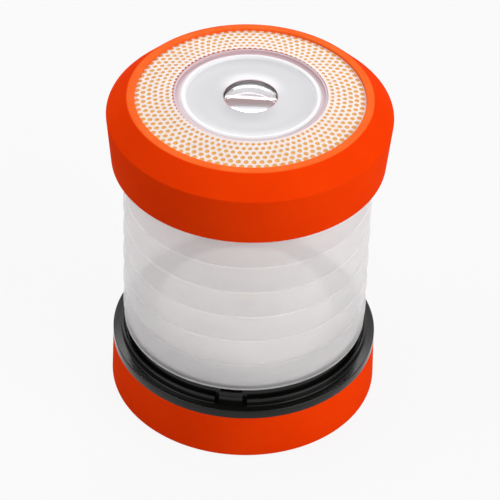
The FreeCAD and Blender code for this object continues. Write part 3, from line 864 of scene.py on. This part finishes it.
def base():
    """Drafted orange tub, cut for the button, the bail and the feet."""
    recess = cover_radius + cover_gap
    mouth = cover_radius - cover_seat
    body = turned("base", soften([
        (recess, z_under),
        (base_radius, z_under, underside_soft),
        (flange_radius, z_flange, ring_soft),
        (shell_inner, z_flange),
        (shell_inner, z_floor),
        (mouth, z_floor),
        (mouth, z_ledge),
        (recess, z_ledge),
    ], steps=6))
    low = z_under - below
    z_groove = z_bail + groove_half
    groove = band(bail_radius - groove_half, bail_radius + groove_half, low, z_groove, 180.0, -90.0)
    groove.transform(Matrix.Translation((0, -bend_radius * MM, 0)))
    cuts = [groove]
    for side in (-1, 1):
        near, far = sorted((side * (bail_radius - groove_half), side * (pin_start + swing_gap)))
        cuts.append(bar((near, -bend_radius - fit_gap, low), (far, groove_half, z_groove)))
        pin = [circle_at(Vector((side * x, 0, z_bail)), Vector((0, 1, 0)), wire_radius + pin_gap)
               for x in (pin_start, pin_start + pin_length + swing_gap)]
        cuts.append(lofted("pin_hole", pin))
    for k in range(pad_count):
        cuts.append(band(pad_inner - fit_gap, pad_outer + fit_gap, low, z_under + pad_recess, pad_span,
                         pad_azimuth + 360.0 * k / pad_count))
    hole = [rounded_ring(button_width + 2 * button_gap, button_height + 2 * button_gap,
                         button_corner + button_gap, lambda x, y=y: y)
            for y in (shell_inner - wall, base_radius + wall)]
    cuts.append(lofted("button_hole", hole))
    return piece("base", shaped(body, cuts, "DIFFERENCE"), orange, "base", "orange_shell", "base_shell")


def circle_at(centre, across, radius):
    """Ring of points square to the wire, in the plane of the vertical and the given direction."""
    turns = [FULL_TURN * k / wire_points for k in range(wire_points)]
    return [centre + radius * (math.cos(t) * across + math.sin(t) * Vector((0, 0, 1))) for t in turns]


def bail():
    """Round wire: pin, bend, half circle, bend, pin."""
    def arc(centre, radius, start, end, steps):
        turns = [math.radians(start + (end - start) * k / steps) for k in range(steps + 1)]
        return [Vector((centre[0] + radius * math.cos(t), centre[1] + radius * math.sin(t), z_bail))
                for t in turns]

    path = [Vector((pin_start + pin_length, 0, z_bail))]
    path += arc((pin_start, -bend_radius), bend_radius, 90, 180, bend_steps)
    path += arc((0, -bend_radius), bail_radius, 0, -180, loop_steps)[1:-1]
    path += arc((-pin_start, -bend_radius), bend_radius, 0, 90, bend_steps)
    path.append(Vector((-pin_start - pin_length, 0, z_bail)))
    rings = []
    for k, point in enumerate(path):
        along = (path[min(k + 1, len(path) - 1)] - path[max(k - 1, 0)]).normalized()
        rings.append(circle_at(point, Vector((-along.y, along.x, 0)), wire_radius))
    return piece("bail", lofted("bail", rings), wire, "hanging_bail", "steel_wire", "hanging_bail")


def button():
    """Rubber button with a curved, softened face and a flange behind the wall."""
    face_radius = depth("power_button")
    y_back = front("power_button")
    y_flange = y_back + button_flange_thickness
    grow = 2 * button_flange
    rings = [rounded_ring(button_width + grow, button_height + grow, button_corner + button_flange,
                          lambda x, y=y: y) for y in (y_back, y_flange)]
    rings.append(rounded_ring(button_width, button_height, button_corner, lambda x: y_flange))
    for inset, drop in button_face:
        rings.append(rounded_ring(button_width - 2 * inset, button_height - 2 * inset, button_corner - inset,
                                  lambda x, d=drop: math.sqrt(face_radius**2 - x**2) - d))
    return piece("button", lofted("button", rings), rubber, "power_button", "black_rubber", "power_button")


cap()
perforated_sheet()
dish()
lens()
milky_bellows()
black_ring()
base()
bail()
button()


# CAD nodes that stay in view keep their shape and take a finish

finishes = {
    white: ("led_pedestal", "battery_tray", "lens_retainer", "bellows_upper_ring"),
    black: ("bellows_lower_ring",),
    rubber: ("foot_pads", "cover_seal"),
    orange: ("battery_cover",),
    plated: ("tray_screws", "cap_screws", "contact_plates", "contact_springs"),
    board_white: ("led_board",),
    emitter: ("led_emitter",),
    board_green: ("driver_board",),
    part_grey: ("driver_parts", "push_switch", "switch_plunger"),
    jacket: ("cell_1", "cell_2", "cell_3"),
}
for finish, names in finishes.items():
    for name in names:
        slots = frame["nodes"][name].data.materials
        slots.clear()
        slots.append(finish)


# Floor, world, lights and camera


def seen_share(tree):
    """One for rays that show the background to the eye, in a mirror or through glass."""
    path = add(tree, "ShaderNodeLightPath")
    both = maths(tree, "MAXIMUM", path.outputs["Is Camera Ray"], path.outputs["Is Glossy Ray"])
    return maths(tree, "MAXIMUM", both, path.outputs["Is Transmission Ray"])


floor_grey = 0.52
floor_glow = 0.9
floor_half = 4000.0
ambient_strength = 0.28
aim_height = 0.06


def floor():
    """Pale floor that keeps a faint shadow."""
    made, tree, shader = blank("floor")
    tree.nodes.remove(shader)
    pale = add(tree, "ShaderNodeBsdfDiffuse", {"Color": (floor_grey, floor_grey, floor_grey, 1.0)})
    glow = add(tree, "ShaderNodeEmission", {"Color": (1.0, 1.0, 1.0, 1.0), "Strength": 1.0})
    share = maths(tree, "MULTIPLY", seen_share(tree), floor_glow)
    mix = add(tree, "ShaderNodeMixShader", {0: share, 1: pale.outputs["BSDF"], 2: glow.outputs["Emission"]})
    feed(tree, tree.nodes["Material Output"].inputs["Surface"], mix.outputs["Shader"])
    corners = [(-1, -1), (1, -1), (1, 1), (-1, 1)]
    mesh = mesh_from("floor", [(x * floor_half, y * floor_half, 0) for x, y in corners], [(0, 1, 2, 3)])
    mesh.materials.append(made)
    ground = bpy.data.objects.new("floor", mesh)
    bpy.context.scene.collection.objects.link(ground)


def world():
    """Even pale surroundings, white where they are seen."""
    made = bpy.data.worlds.new("studio")
    made.use_nodes = True
    tree = made.node_tree
    tree.nodes.clear()
    ambient = add(tree, "ShaderNodeBackground",
                  {"Color": (1.0, 1.0, 1.0, 1.0), "Strength": ambient_strength})
    seen = add(tree, "ShaderNodeBackground", {"Color": (1.0, 1.0, 1.0, 1.0), "Strength": 1.0})
    mix = add(tree, "ShaderNodeMixShader",
              {0: seen_share(tree), 1: ambient.outputs["Background"], 2: seen.outputs["Background"]})
    output = add(tree, "ShaderNodeOutputWorld")
    feed(tree, output.inputs["Surface"], mix.outputs["Shader"])
    bpy.context.scene.world = made


def softbox(name, spot, width, height, power, tone):
    """Area lamp aimed at the lantern's middle."""
    data = bpy.data.lights.new(name, "AREA")
    data.shape = "RECTANGLE"
    data.size = width
    data.size_y = height
    data.energy = power
    data.color = tone
    lamp = bpy.data.objects.new(name, data)
    lamp.location = spot
    aim = Vector((0, 0, aim_height)) - Vector(spot)
    lamp.rotation_euler = aim.to_track_quat("-Z", "Y").to_euler()
    bpy.context.scene.collection.objects.link(lamp)


focal_pixels = 3001.3
image_pixels = 500
sensor = 36.0
camera_distance = 950.3
camera_elevation = math.radians(39.56)
camera_azimuth = math.radians(5.0)
camera_roll = math.radians(1.70)
centre_offset_pixels = 3.96
target_height = 0.05


def camera():
    """Camera at the photograph's angle, with the lantern leaning a little to the right."""
    data = bpy.data.cameras.new("camera")
    data.sensor_width = sensor
    data.lens = sensor * focal_pixels / image_pixels
    data.shift_x = centre_offset_pixels / image_pixels
    data.clip_start = 0.05
    data.clip_end = 50.0
    back = Vector((math.cos(camera_elevation) * math.sin(camera_azimuth),
                   -math.cos(camera_elevation) * math.cos(camera_azimuth),
                   math.sin(camera_elevation)))
    level_right = Vector((math.cos(camera_azimuth), math.sin(camera_azimuth), 0))
    level_up = back.cross(level_right)
    right = level_right * math.cos(camera_roll) + level_up * math.sin(camera_roll)
    up = level_up * math.cos(camera_roll) - level_right * math.sin(camera_roll)
    shown = bpy.data.objects.new("camera", data)
    turn = Matrix((right, up, back)).transposed().to_4x4()
    spot = Vector((0, 0, target_height)) + back * camera_distance * MM
    shown.matrix_world = Matrix.Translation(spot) @ turn
    bpy.context.scene.collection.objects.link(shown)
    bpy.context.scene.camera = shown


floor()
world()
softbox("key", (0.8, -0.42, 0.55), width=0.8, height=0.8, power=7.6, tone=(1.0, 0.985, 0.97))
softbox("over", (-0.55, -0.1, 0.8), width=0.6, height=0.6, power=3.3, tone=(1.0, 1.0, 1.0))
softbox("back", (0.0, 0.9, 0.95), width=1.7, height=0.1, power=3.5, tone=(1.0, 1.0, 1.0))
softbox("low_back", (0.0, 1.2, 0.5), width=1.0, height=0.25, power=4.4, tone=(1.0, 1.0, 1.0))
camera()
bpy.context.scene.view_settings.view_transform = "Standard"
